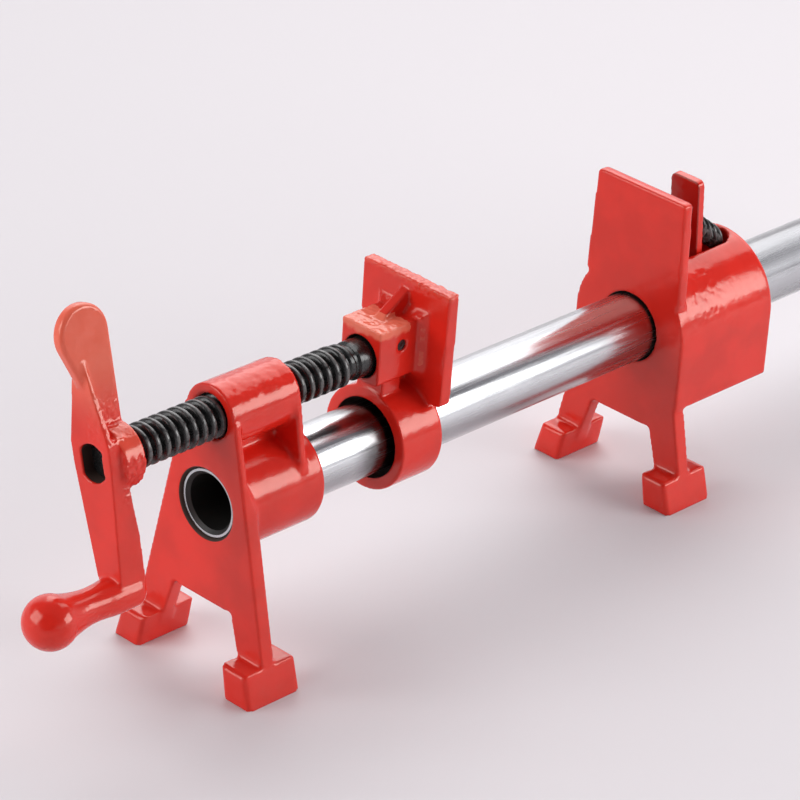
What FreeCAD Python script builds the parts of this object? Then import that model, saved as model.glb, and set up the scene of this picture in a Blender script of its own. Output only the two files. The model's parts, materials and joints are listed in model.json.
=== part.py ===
import FreeCAD, Part
import math
import os
import Sketcher

# A woodworking pipe clamp: a cranked head screwed onto a steel pipe, a sliding jaw that the
# spindle pushes, and a tail jaw that a stack of tilting clutch plates locks anywhere on the pipe.
#
# Frame: +X runs along the pipe from the head to the tail, +Z is up, and the feet stand on Z = 0.
# X = 0 is midway between the crank's ball tip and the far end of the pipe, and Y = 0 is the
# clamp's plane of symmetry. Millimetres and degrees throughout.

# ---------------------------------------------------------------------------------------------
# Driving dimensions
# ---------------------------------------------------------------------------------------------

SIZES = {
    # pipe: 3/4 inch nominal steel pipe with a taper thread cut on both ends
    "pipe_outer": 26.67,
    "pipe_inner": 20.93,
    "pipe_length": 457.2,
    "pipe_recess": 1.3,
    "thread_outer": 25.8,
    "thread_length": 14.5,
    "pipe_end_chamfer": 0.3,
    "pipe_ream": 0.7,
    "pipe_mouth": 0.7,
    "pipe_fit": 0.05,
    # heights of the two axes
    "axis_height": 64.7,
    "spindle_rise": 34.3,
    # head: A-shaped front plate
    "shoulder_half": 12.9,
    "shoulder_rise": 1.0,
    "shoulder_slope": 5.0,
    "foot_half": 34.6,
    "arch_drop": 37.6,
    "arch_half": 14.6,
    "arch_foot_half": 22.6,
    "leg_thick": 6.2,
    "foot_toe": 8.9,
    "foot_heel": 16.2,
    "foot_flare": 0.8,
    "foot_inner_half": 22.0,
    "foot_inner_top": 19.8,
    "foot_tall": 12.6,
    "foot_round": 2.0,
    # head: bosses, window and walls
    "spindle_boss": 24.2,
    "boss_length": 32.2,
    "socket_boss": 38.0,
    "socket_length": 40.2,
    "socket_bevel": 1.2,
    "window_plate": 3.0,
    "window_sill": 14.0,
    "window_toe": 3.0,
    "rear_wall": 3.0,
    "wall_inset": 0.5,
    "head_web": 6.0,
    # spindle
    "spindle_outer": 15.88,
    "spindle_fit": 0.06,
    "mouth_chamfer": 1.2,
    "tang_round": 13.8,
    "tang_flats": 10.6,
    "tang_fit": 0.1,
    "tang_recess": 5.0,
    "groove_root": 4.4,
    "groove_play": 0.2,
    "nose_chamfer": 1.2,
    "nose_gap": 0.2,
    # crank handle
    "crank_stand": 53.5,
    "crank_lean": 14.5,
    "arm_hub_half": 9.6,
    "arm_crown": 7.0,
    "arm_hub_deep": 8.0,
    "arm_end_half": 5.0,
    "arm_end_deep": 11.4,
    "arm_mid_deep": 10.3,
    "arm_mid_drop": 27.0,
    "arm_reach": 47.2,
    "arm_end_round": 6.0,
    "arm_end_flat": 0.8,
    "elbow_round": 6.0,
    "arm_tip_rise": 36.5,
    "arm_tip_deep": 1.5,
    "arm_flange_deep": 3.0,
    "arm_flange_start": 8.6,
    "blade_thick": 5.0,
    "blade_bulge": 3.5,
    "blade_rise": 44.7,
    "blade_radius": 10.6,
    "blade_turn": 22.0,
    "blade_start": 26.0,
    "blade_rim": 1.0,
    "hub_round": 24.0,
    "hub_start": 5.0,
    "hub_tail": 13.8,
    "grip_neck": 11.8,
    "grip_reach": 37.2,
    "ball_outer": 19.7,
    "ball_blend": 18.0,
    # sliding jaw
    "jaw_stand": 98.9,
    "plate_thick": 5.0,
    "jaw_half": 21.6,
    "jaw_bottom_half": 20.6,
    "jaw_bottom": 14.4,
    "jaw_corner": 2.0,
    "jaw_top": 59.0,
    "block_half": 9.6,
    "block_top": 46.6,
    "block_bottom": 25.0,
    "block_deep": 26.4,
    "block_round": 2.6,
    "block_blend": 3.0,
    "neck_half": 6.6,
    "neck_front": 20.6,
    "neck_back": 11.4,
    "web_half": 2.6,
    "collar_outer": 39.6,
    "collar_bore": 30.4,
    "collar_front": 21.4,
    "collar_bevel": 1.8,
    "gusset_thick": 4.4,
    "gusset_rise": 8.6,
    "gusset_run": 14.0,
    "socket_deep": 18.0,
    "pin_outer": 4.2,
    "pin_fit": 0.02,
    "pin_setback": 14.9,
    "pin_rise": 4.4,
    "pin_recess": 0.8,
    # tail jaw
    "tail_stand": 219.0,
    "tail_plate": 4.6,
    "tail_top": 58.4,
    "tail_bottom": 16.0,
    "tail_top_half": 21.9,
    "tail_bottom_half": 23.6,
    "tail_corner": 1.8,
    "housing_outer": 54.0,
    "housing_length": 53.0,
    "housing_wall": 5.1,
    "housing_skirt": 26.0,
    "housing_front": 13.0,
    "housing_rear": 5.5,
    "housing_bevel": 0.8,
    "slot_half": 7.5,
    "slot_floor": 19.5,
    "slot_web": 2.5,
    "tail_fit": 0.4,
    # clutch
    "plate_count": 3,
    "disc_outer": 41.6,
    "disc_hole": 27.27,
    "disc_thick": 3.7,
    "disc_gap": 0.25,
    "fulcrum_drop": 19.5,
    "fulcrum_reach": 19.75,
    "fulcrum_gap": 0.1,
    "rest_tilt": 5.0,
    "lever_half": 6.9,
    "lever_top": 55.0,
    "lever_round": 2.2,
    # clutch spring
    "spring_outer": 11.0,
    "spring_wire": 1.7,
    "spring_turns": 5.0,
    "spring_end_turns": 0.75,
    "spring_steps": 10,
    "spring_sides": 6,
    "spring_rise_front": 34.5,
    "spring_rise_back": 22.5,
    "spring_gap": 0.3,
}


def make_sheet(document):
    """Writes every driving dimension into the sheet and names its cell."""
    sheet = document.addObject("Spreadsheet::Sheet", "dim")
    for row, (name, value) in enumerate(SIZES.items(), start=1):
        sheet.set(f"A{row}", name)
        sheet.set(f"B{row}", str(value))
        sheet.setAlias(f"B{row}", name)
    document.recompute()
    return sheet


# ---------------------------------------------------------------------------------------------
# Places that several pieces share, written as formulas on the sheet
# ---------------------------------------------------------------------------------------------

# the head plate's front face, which puts X = 0 midway along the whole clamp
HEAD_X = ("((dim.crank_stand + dim.grip_reach - dim.pipe_recess - dim.pipe_length) / 2)")
SPINDLE_Z = "(dim.axis_height + dim.spindle_rise)"
JAW_X = f"({HEAD_X} + dim.jaw_stand)"
TAIL_X = f"({HEAD_X} + dim.tail_stand)"


SHOULDER_Z = "(dim.spindle_rise + dim.shoulder_rise)"


def plate_half(height):
    """Half width of the A-shaped plate at a height above the pipe axis."""
    slope = f"(dim.foot_half - dim.shoulder_half) / ({SHOULDER_Z} + dim.axis_height)"
    return f"dim.shoulder_half + {slope} * ({SHOULDER_Z} - ({height}))"


# ---------------------------------------------------------------------------------------------
# Modelling helpers
# ---------------------------------------------------------------------------------------------

def number(thing, formula):
    """The present value of a formula."""
    value = thing.evalExpression(formula)
    return float(getattr(value, "Value", value))


def bind(thing, **formulas):
    for prop, formula in formulas.items():
        thing.setExpression(prop, formula)


def make_body(document, label, x="0", y="0", z="0", tilt=None, tilt_axis=(1, 0, 0)):
    """An empty body whose place, and tilt about one axis, follow the sheet."""
    body = document.addObject("PartDesign::Body", label)
    body.Label = label
    for axis, formula in (("x", x), ("y", y), ("z", z)):
        body.setExpression(f"Placement.Base.{axis}", formula)
    if tilt is not None:
        axis = FreeCAD.Vector(*tilt_axis)
        start = FreeCAD.Rotation(axis, number(body, tilt))
        body.Placement = FreeCAD.Placement(FreeCAD.Vector(), start)
        body.setExpression("Placement.Rotation.Angle", tilt)
    return body


def make_sketch(body, plane, name, offset=None):
    """A sketch on one of the body's own origin planes, or parallel to it."""
    sketch = body.newObject("Sketcher::SketchObject", name)
    planes = {feature.Role: feature for feature in body.Origin.OriginFeatures}
    sketch.AttachmentSupport = [(planes[plane], "")]
    sketch.MapMode = "FlatFace"
    if offset is not None:
        sketch.setExpression("AttachmentOffset.Base.z", offset)
    return sketch


def hold(sketch, kind, curve, end, formula):
    """Holds one point's distance from the sketch's origin, across or up."""
    value = number(sketch, formula)
    index = sketch.addConstraint(Sketcher.Constraint(kind, -1, 1, curve, end, value))
    sketch.setExpression(f"Constraints[{index}]", formula)


def pin_point(sketch, curve, end, across, up):
    """Holds one point of a curve at a place given by two formulas."""
    hold(sketch, "DistanceX", curve, end, across)
    hold(sketch, "DistanceY", curve, end, up)


def join_ends(sketch, joins):
    """Makes pairs of curve ends coincide."""
    for first, first_end, second, second_end in joins:
        sketch.addConstraint(Sketcher.Constraint("Coincident", first, first_end, second, second_end))


def draw_outline(sketch, corners):
    """A closed outline of straight lines through corners given as pairs of formulas."""
    places = [FreeCAD.Vector(number(sketch, a), number(sketch, b), 0) for a, b in corners]
    lines = []
    for start, end in zip(places, places[1:] + places[:1]):
        lines.append(sketch.addGeometry(Part.LineSegment(start, end)))
    join_ends(sketch, [(line, 2, following, 1)
                       for line, following in zip(lines, lines[1:] + lines[:1])])
    for line, (across, up) in zip(lines, corners):
        pin_point(sketch, line, 1, across, up)


def draw_circle(sketch, across, up, radius):
    centre = FreeCAD.Vector(number(sketch, across), number(sketch, up), 0)
    size = number(sketch, radius)
    curve = sketch.addGeometry(Part.Circle(centre, FreeCAD.Vector(0, 0, 1), size))
    pin_point(sketch, curve, 3, across, up)
    index = sketch.addConstraint(Sketcher.Constraint("Radius", curve, size))
    sketch.setExpression(f"Constraints[{index}]", radius)


def pad(body, sketch, length, midplane=False, reverse=False):
    feature = body.newObject("PartDesign::Pad", sketch.Name + "_pad")
    feature.Profile = sketch
    feature.Midplane = midplane
    feature.Reversed = reverse
    bind(feature, Length=length)
    body.Document.recompute()
    return feature


def pocket(body, sketch, length=None, midplane=False, reverse=False):
    """Cuts the sketch away, right through when no length is given, and checks that it cut."""
    before = body.Shape.Volume
    feature = body.newObject("PartDesign::Pocket", sketch.Name + "_pocket")
    feature.Profile = sketch
    feature.Midplane = midplane
    feature.Reversed = reverse
    if length is None:
        feature.Type = "ThroughAll"
    else:
        bind(feature, Length=length)
    body.Document.recompute()
    if body.Shape.Volume >= before:
        raise RuntimeError(f"{feature.Name} cut nothing")
    return feature


def pad_circle(body, name, radius, length, offset="0", across="0", up="0"):
    """A round boss along X."""
    sketch = make_sketch(body, "YZ_Plane", name, offset)
    draw_circle(sketch, across, up, radius)
    return pad(body, sketch, length)


def bore(body, name, radius, length, offset="0", up="0"):
    """A round hole along +X that starts at the offset."""
    sketch = make_sketch(body, "YZ_Plane", name, offset)
    draw_circle(sketch, "0", up, radius)
    return pocket(body, sketch, length, reverse=True)


def edges_where(body, test):
    """Names of the body's edges whose middle point and curve pass a test."""
    names = []
    for index, edge in enumerate(body.Shape.Edges, start=1):
        if edge.Degenerated:
            continue
        middle = edge.valueAt((edge.FirstParameter + edge.LastParameter) / 2)
        local = body.Placement.inverse().multVec(middle)
        if test(local, edge):
            names.append(f"Edge{index}")
    return names


def round_edges(body, name, radius, test, kind="PartDesign::Fillet", prop="Radius"):
    """Rounds or chamfers the edges that pass a test given in the body's own frame."""
    base = body.Tip
    names = edges_where(body, test)
    if not names:
        raise RuntimeError(f"{name} found no edge")
    feature = body.newObject(kind, name)
    feature.Base = (base, names)
    feature.setExpression(prop, radius)
    body.Document.recompute()
    return feature


def chamfer_edges(body, name, size, test):
    return round_edges(body, name, size, test, kind="PartDesign::Chamfer", prop="Size")


NEAR = 0.02     # how close a point must be to count as lying on a plane
QUARTER_TURN, HALF_TURN, FULL_TURN = 90, 180, 360


def near(value, target):
    return abs(value - target) < NEAR


def is_ring(edge, radius):
    return isinstance(edge.Curve, Part.Circle) and near(edge.Curve.Radius, radius)


# ---------------------------------------------------------------------------------------------
# Sub-parts
# ---------------------------------------------------------------------------------------------

def pipe(document):
    """Steel pipe, reamed inside each end, with a reduced stretch there for the taper thread."""
    body = make_body(document, "pipe", f"{HEAD_X} + dim.pipe_recess", "0", "dim.axis_height")
    pad_circle(body, "pipe_thread", "dim.thread_outer / 2", "dim.pipe_length")
    barrel = "dim.pipe_length - 2 * dim.thread_length"
    pad_circle(body, "pipe_barrel", "dim.pipe_outer / 2", barrel, "dim.thread_length")
    bore(body, "pipe_bore", "dim.pipe_inner / 2", None)
    outer, inner = SIZES["thread_outer"] / 2, SIZES["pipe_inner"] / 2
    length = SIZES["pipe_length"]
    chamfer_edges(body, "pipe_chamfer", "dim.pipe_end_chamfer",
                  lambda p, e: is_ring(e, outer) and (near(p.x, 0) or near(p.x, length)))
    chamfer_edges(body, "pipe_ream", "dim.pipe_ream",
                  lambda p, e: is_ring(e, inner) and (near(p.x, 0) or near(p.x, length)))
    return body


def a_plate(body, name, crown):
    """A-shaped plate: two legs with an arch between them, and above them a crown.

    The crown is the left edge above the feet, from below upwards.
    """
    drop = "-dim.axis_height"
    left = [("dim.arch_half", "-dim.arch_drop"), ("dim.arch_foot_half", drop), ("dim.foot_half", drop),
            *crown]
    right = [(f"-({across})", up) for across, up in reversed(left)]
    sketch = make_sketch(body, "YZ_Plane", name)
    draw_outline(sketch, left + right)
    return pad(body, sketch, "dim.leg_thick")


def add_feet(body):
    """A padded foot under each leg, flaring from the leg's outer side and drafted on its inner one."""
    top = "dim.foot_tall - dim.axis_height"
    for side, name in (("-", "right"), ("", "left")):
        sketch = make_sketch(body, "YZ_Plane", f"{body.Name}_{name}_foot", "-dim.foot_toe")
        corners = [("dim.foot_inner_half", "-dim.axis_height"),
                   ("dim.foot_half + dim.foot_flare", "-dim.axis_height"),
                   (plate_half(top), top), ("dim.foot_inner_top", top)]
        draw_outline(sketch, [(f"{side}({across})", up) for across, up in corners])
        pad(body, sketch, "dim.foot_toe + dim.foot_heel")


def round_feet(body):
    """Rounds the upright corners and the top rim of the feet's pads."""
    toe, heel = -SIZES["foot_toe"], SIZES["foot_heel"]
    top = SIZES["foot_tall"] - SIZES["axis_height"]

    def on_pad(p, e):
        if e.Length < SIZES["foot_round"] * 3:
            return False
        front_or_back = near(p.x, toe) or near(p.x, heel)
        return front_or_back and p.z > -SIZES["axis_height"] + NEAR and p.z < top + NEAR
    round_edges(body, body.Name + "_foot_rounds", "dim.foot_round", on_pad)


def head_frame(document):
    """Head casting: A-shaped plate, spindle tube, pipe socket and a window in each side."""
    body = make_body(document, "head_frame", HEAD_X, "0", "dim.axis_height")
    a_plate(body, "head_plate", [("dim.shoulder_half", SHOULDER_Z),
                                 ("dim.shoulder_half - dim.shoulder_slope",
                                  f"{SHOULDER_Z} + dim.shoulder_slope")])

    # the plate thins to the window's front wall above the pipe socket
    sketch = make_sketch(body, "XZ_Plane", "plate_relief")
    draw_outline(sketch, [
        ("dim.window_plate", "dim.window_sill"), ("dim.leg_thick", "dim.window_toe"),
        ("2 * dim.leg_thick", "dim.window_toe"), ("2 * dim.leg_thick", "2 * dim.spindle_rise"),
        ("dim.window_plate", "2 * dim.spindle_rise")])
    pocket(body, sketch, midplane=True)
    add_feet(body)

    # rear wall of the window, and the web that joins the two tubes along the middle
    upper = "(dim.shoulder_half - dim.wall_inset)"
    lower = "(dim.socket_boss / 2 - dim.wall_inset)"
    crest = "dim.shoulder_slope"
    sketch = make_sketch(body, "YZ_Plane", "rear_wall", "dim.boss_length - dim.rear_wall")
    draw_outline(sketch, [
        (f"-{upper}", "dim.spindle_rise"), (f"-{lower}", "0"), (lower, "0"),
        (upper, "dim.spindle_rise"), (f"{upper} - {crest}", f"dim.spindle_rise + {crest}"),
        (f"{crest} - {upper}", f"dim.spindle_rise + {crest}")])
    pad(body, sketch, "dim.rear_wall")
    sketch = make_sketch(body, "XZ_Plane", "head_web")
    draw_outline(sketch, [("0", "0"), ("dim.boss_length", "0"),
                          ("dim.boss_length", "dim.spindle_rise"), ("0", "dim.spindle_rise")])
    pad(body, sketch, "dim.head_web", midplane=True)

    pad_circle(body, "spindle_tube", "dim.spindle_boss / 2", "dim.boss_length", up="dim.spindle_rise")
    pad_circle(body, "pipe_socket", "dim.socket_boss / 2", "dim.socket_length")
    socket, length = SIZES["socket_boss"] / 2, SIZES["socket_length"]
    chamfer_edges(body, "socket_rim", "dim.socket_bevel",
                  lambda p, e: is_ring(e, socket) and near(p.x, length))

    # tapped hole for the pipe's thread, opened out behind it for the plain pipe
    shoulder = "(dim.pipe_recess + dim.thread_length)"
    bore(body, "socket_thread", "dim.thread_outer / 2 + dim.pipe_fit", None)
    bore(body, "socket_bore", "dim.pipe_outer / 2 + dim.pipe_fit", f"dim.socket_length - {shoulder}",
         shoulder)
    bore(body, "spindle_bore", "dim.spindle_outer / 2 + dim.spindle_fit", None, up="dim.spindle_rise")
    inlet = SIZES["thread_outer"] / 2 + SIZES["pipe_fit"]
    chamfer_edges(body, "pipe_mouth", "dim.pipe_mouth", lambda p, e: is_ring(e, inlet) and near(p.x, 0))
    mouth, rear = SIZES["spindle_outer"] / 2 + SIZES["spindle_fit"], SIZES["boss_length"]
    chamfer_edges(body, "spindle_mouths", "dim.mouth_chamfer",
                  lambda p, e: is_ring(e, mouth) and (near(p.x, 0) or near(p.x, rear)))
    round_feet(body)
    return body


def spindle(document):
    """Screw with two flats for the crank and a groove for the jaw's cross pin."""
    start = "dim.tang_recess"
    body = make_body(document, "spindle", f"{HEAD_X} - dim.crank_stand", "0", SPINDLE_Z,
                     tilt="-dim.crank_lean")
    pad_circle(body, "tang", "dim.tang_round / 2", f"dim.arm_hub_deep - {start}", start)
    sketch = make_sketch(body, "YZ_Plane", "tang_flats", start)
    for side in ("-", ""):
        draw_outline(sketch, [(f"{side}dim.tang_flats / 2", "-dim.tang_round"),
                              (f"{side}dim.tang_round", "-dim.tang_round"),
                              (f"{side}dim.tang_round", "dim.tang_round"),
                              (f"{side}dim.tang_flats / 2", "dim.tang_round")])
    pocket(body, sketch, f"dim.arm_hub_deep - {start}", reverse=True)

    tip = "(dim.crank_stand + dim.jaw_stand - dim.block_deep + dim.socket_deep - dim.nose_gap)"
    pad_circle(body, "screw", "dim.spindle_outer / 2", f"{tip} - dim.arm_hub_deep", "dim.arm_hub_deep")
    groove = "(dim.crank_stand + dim.jaw_stand - dim.pin_setback - dim.pin_outer / 2 - dim.groove_play)"
    sketch = make_sketch(body, "YZ_Plane", "groove", groove)
    draw_circle(sketch, "0", "0", "dim.spindle_outer")
    draw_circle(sketch, "0", "0", "dim.groove_root / 2")
    pocket(body, sketch, "dim.pin_outer + 2 * dim.groove_play", reverse=True)
    end, radius = number(body, tip), SIZES["spindle_outer"] / 2
    chamfer_edges(body, "nose", "dim.nose_chamfer", lambda p, e: is_ring(e, radius) and near(p.x, end))
    return body


def crank_handle(document):
    """Crank casting: hub, arm tapering both ways, ball-ended grip and flat thumb blade."""
    body = make_body(document, "crank_handle", f"{HEAD_X} - dim.crank_stand", "0", SPINDLE_Z,
                     tilt="-dim.crank_lean")

    # arm seen from the front, its lower end rounded and its upper one tapering to the blade
    sketch = make_sketch(body, "YZ_Plane", "arm_front")
    end = "(-dim.arm_reach - dim.arm_end_round)"
    draw_outline(sketch, [
        ("-dim.arm_end_half", end), ("dim.arm_end_half", end), ("dim.arm_hub_half", "0"),
        ("dim.arm_hub_half", "dim.arm_crown"), ("dim.blade_thick / 2", "dim.arm_tip_rise"),
        ("-dim.blade_thick / 2", "dim.arm_tip_rise"), ("-dim.arm_hub_half", "dim.arm_crown"),
        ("-dim.arm_hub_half", "0")])
    pad(body, sketch, "dim.arm_end_deep")
    low, half = number(body, end), SIZES["arm_end_half"]
    round_edges(body, "arm_end", "dim.arm_end_half - dim.arm_end_flat",
                lambda p, e: near(abs(p.y), half) and near(p.z, low))

    # arm seen from the side: what lies behind its hollow back and its thin upper flange, and
    # outside its elbow, is cut away
    far = "(2 * dim.arm_end_deep)"
    sketch = make_sketch(body, "XZ_Plane", "arm_back")
    draw_outline(sketch, [
        ("dim.arm_end_deep", "-dim.arm_reach"), (far, "-dim.arm_reach"),
        (far, "2 * dim.arm_tip_rise"), ("dim.arm_tip_deep", "2 * dim.arm_tip_rise"),
        ("dim.arm_tip_deep", "dim.arm_tip_rise"), ("dim.arm_flange_deep", "dim.arm_flange_start"),
        ("dim.arm_hub_deep", "dim.arm_flange_start"), ("dim.arm_hub_deep", "-dim.hub_round / 2"),
        ("dim.arm_mid_deep", "-dim.arm_mid_drop")])
    pocket(body, sketch, midplane=True)
    sketch = make_sketch(body, "XZ_Plane", "elbow")
    draw_elbow(sketch, "dim.arm_end_deep", end, "dim.elbow_round")
    pocket(body, sketch, midplane=True)

    sketch = make_sketch(body, "XZ_Plane", "blade")
    back = "(dim.blade_bulge + dim.blade_radius)"
    draw_blade(sketch, back)
    pad(body, sketch, "dim.blade_thick", midplane=True)
    side, lowest, rear = SIZES["blade_thick"] / 2, SIZES["blade_start"], number(body, back)
    chamfer_edges(body, "blade_rim", "dim.blade_rim",
                  lambda p, e: near(abs(p.y), side) and (p.z > lowest or near(p.x, rear))
                  and not (near(p.x, 0) or near(p.z, SIZES["arm_tip_rise"])))

    # hub behind the arm, and the slot that fits the spindle's flats
    pad_circle(body, "hub", "dim.hub_round / 2", "dim.hub_tail - dim.hub_start", "dim.hub_start")
    bore(body, "hub_bore", "dim.spindle_outer / 2 + dim.tang_fit", "dim.hub_tail", "dim.arm_hub_deep")
    sketch = make_sketch(body, "YZ_Plane", "slot")
    draw_slot(sketch, "dim.tang_flats / 2 + dim.tang_fit", "dim.tang_round / 2 + dim.tang_fit")
    pocket(body, sketch, "dim.arm_hub_deep", reverse=True)

    grip(body)
    return body


def draw_blade(sketch, back):
    """A teardrop whose back edge runs straight down to the hub and whose front meets the arm."""
    turn = HALF_TURN + number(sketch, "dim.blade_turn")
    arc = draw_arc(sketch, ("dim.blade_bulge", "dim.blade_rise"), "dim.blade_radius", 0, turn)
    tip_up = "dim.blade_rise - dim.blade_radius * sin(dim.blade_turn)"
    corners = [("dim.blade_bulge - dim.blade_radius * cos(dim.blade_turn)", tip_up),
               ("0", "dim.blade_start"), ("0", "0"), (back, "0"), (back, "dim.blade_rise")]
    places = [FreeCAD.Vector(number(sketch, a), number(sketch, b), 0) for a, b in corners]
    lines = [sketch.addGeometry(Part.LineSegment(a, b)) for a, b in zip(places, places[1:])]
    join_ends(sketch, ((arc, 2, lines[0], 1), (lines[0], 2, lines[1], 1), (lines[1], 2, lines[2], 1),
                       (lines[2], 2, lines[3], 1), (lines[3], 2, arc, 1)))
    hold(sketch, "DistanceY", arc, 1, "dim.blade_rise")
    hold(sketch, "DistanceY", arc, 2, tip_up)
    for line, (across, up) in zip(lines[1:], corners[1:]):
        pin_point(sketch, line, 1, across, up)


def draw_slot(sketch, half_width, half_height):
    """An upright slot with flat sides and round ends centred on the sketch's origin."""
    width, height = number(sketch, half_width), number(sketch, half_height)
    rise = (height ** 2 - width ** 2) ** 0.5
    corners = [FreeCAD.Vector(a, b, 0) for a, b in
               ((-width, -rise), (width, -rise), (width, rise), (-width, rise))]
    bottom = sketch.addGeometry(Part.Arc(corners[0], FreeCAD.Vector(0, -height, 0), corners[1]))
    right = sketch.addGeometry(Part.LineSegment(corners[1], corners[2]))
    top = sketch.addGeometry(Part.Arc(corners[2], FreeCAD.Vector(0, height, 0), corners[3]))
    left = sketch.addGeometry(Part.LineSegment(corners[3], corners[0]))
    join_ends(sketch, ((bottom, 2, right, 1), (right, 2, top, 1), (top, 2, left, 1),
                       (left, 2, bottom, 1)))
    for arc in (bottom, top):
        sketch.addConstraint(Sketcher.Constraint("Coincident", arc, 3, -1, 1))
    sketch.addConstraint(Sketcher.Constraint("Vertical", right))
    sketch.addConstraint(Sketcher.Constraint("Vertical", left))
    index = sketch.addConstraint(Sketcher.Constraint("Radius", top, height))
    sketch.setExpression(f"Constraints[{index}]", half_height)
    for line, sign in ((right, ""), (left, "-")):
        hold(sketch, "DistanceX", line, 1, f"{sign}({half_width})")


def draw_elbow(sketch, across, up, radius):
    """The waste outside a rounded lower right-hand corner."""
    corner = FreeCAD.Vector(number(sketch, across), number(sketch, up), 0)
    size = number(sketch, radius)
    centre = corner + FreeCAD.Vector(-size, size, 0)
    middle = centre + FreeCAD.Vector(size, -size, 0) / 2 ** 0.5
    start, end = corner - FreeCAD.Vector(size, 0, 0), corner + FreeCAD.Vector(0, size, 0)
    arc = sketch.addGeometry(Part.Arc(start, middle, end))
    places = [end, end + FreeCAD.Vector(size, 0, 0), corner + FreeCAD.Vector(size, -size, 0),
              start - FreeCAD.Vector(0, size, 0), start]
    lines = [sketch.addGeometry(Part.LineSegment(a, b)) for a, b in zip(places, places[1:])]
    join_ends(sketch, [(arc, 2, lines[0], 1), (lines[0], 2, lines[1], 1), (lines[1], 2, lines[2], 1),
                       (lines[2], 2, lines[3], 1), (lines[3], 2, arc, 1)])
    pin_point(sketch, arc, 3, f"{across} - {radius}", f"{up} + {radius}")
    hold(sketch, "DistanceX", arc, 1, f"{across} - {radius}")
    pin_point(sketch, arc, 2, across, f"{up} + {radius}")
    pin_point(sketch, lines[0], 2, f"{across} + {radius}", f"{up} + {radius}")
    pin_point(sketch, lines[1], 2, f"{across} + {radius}", f"{up} - {radius}")
    pin_point(sketch, lines[2], 2, f"{across} - {radius}", f"{up} - {radius}")


def draw_arc(sketch, centre, radius, start, end, pinned=True):
    """An arc about a centre given as a pair of formulas, between two angles in degrees."""
    across, up = (number(sketch, formula) for formula in centre)
    circle = Part.Circle(FreeCAD.Vector(across, up, 0), FreeCAD.Vector(0, 0, 1), number(sketch, radius))
    arc = sketch.addGeometry(Part.ArcOfCircle(circle, math.radians(start), math.radians(end)))
    if pinned:
        pin_point(sketch, arc, 3, *centre)
    index = sketch.addConstraint(Sketcher.Constraint("Radius", arc, number(sketch, radius)))
    sketch.setExpression(f"Constraints[{index}]", radius)
    return arc


def grip(body):
    """Turned grip: a neck that flares into a ball, on an axis parallel to the spindle."""
    sketch = make_sketch(body, "XZ_Plane", "grip_profile")
    axis, ball, neck = "(-dim.arm_reach)", "(dim.ball_outer / 2)", "(dim.grip_neck / 2)"
    root = "(dim.arm_end_deep / 2)"
    centre = f"(-(dim.grip_reach - {ball}))"
    spread = f"sqrt(({ball} + dim.ball_blend)^2 - ({neck} + dim.ball_blend)^2)"
    flare = f"({centre} + {spread})"
    join = math.degrees(math.atan2(number(body, f"{neck} + dim.ball_blend"), number(body, spread)))
    sphere = draw_arc(sketch, (centre, axis), ball, HALF_TURN, FULL_TURN - join)
    blend = draw_arc(sketch, (flare, f"{axis} - {neck} - dim.ball_blend"), "dim.ball_blend",
                     QUARTER_TURN, HALF_TURN - join, pinned=False)
    places = [FreeCAD.Vector(number(sketch, a), number(sketch, b), 0) for a, b in
              ((flare, f"{axis} - {neck}"), (root, f"{axis} - {neck}"), (root, axis),
               ("-dim.grip_reach", axis))]
    lines = [sketch.addGeometry(Part.LineSegment(a, b)) for a, b in zip(places, places[1:])]
    join_ends(sketch, ((lines[0], 2, lines[1], 1), (lines[1], 2, lines[2], 1),
                       (lines[2], 2, sphere, 1)))
    sketch.addConstraint(Sketcher.Constraint("Tangent", blend, 2, sphere, 2))
    sketch.addConstraint(Sketcher.Constraint("Tangent", blend, 1, lines[0], 1))
    sketch.addConstraint(Sketcher.Constraint("Horizontal", lines[0]))
    hold(sketch, "DistanceY", sphere, 1, axis)
    pin_point(sketch, lines[1], 1, root, f"{axis} - {neck}")
    pin_point(sketch, lines[2], 1, root, axis)
    revolve = body.newObject("PartDesign::Revolution", "grip")
    revolve.Profile = sketch
    revolve.ReferenceAxis = (sketch, [f"Edge{lines[2] + 1}"])
    revolve.Angle = FULL_TURN
    body.Document.recompute()


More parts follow.
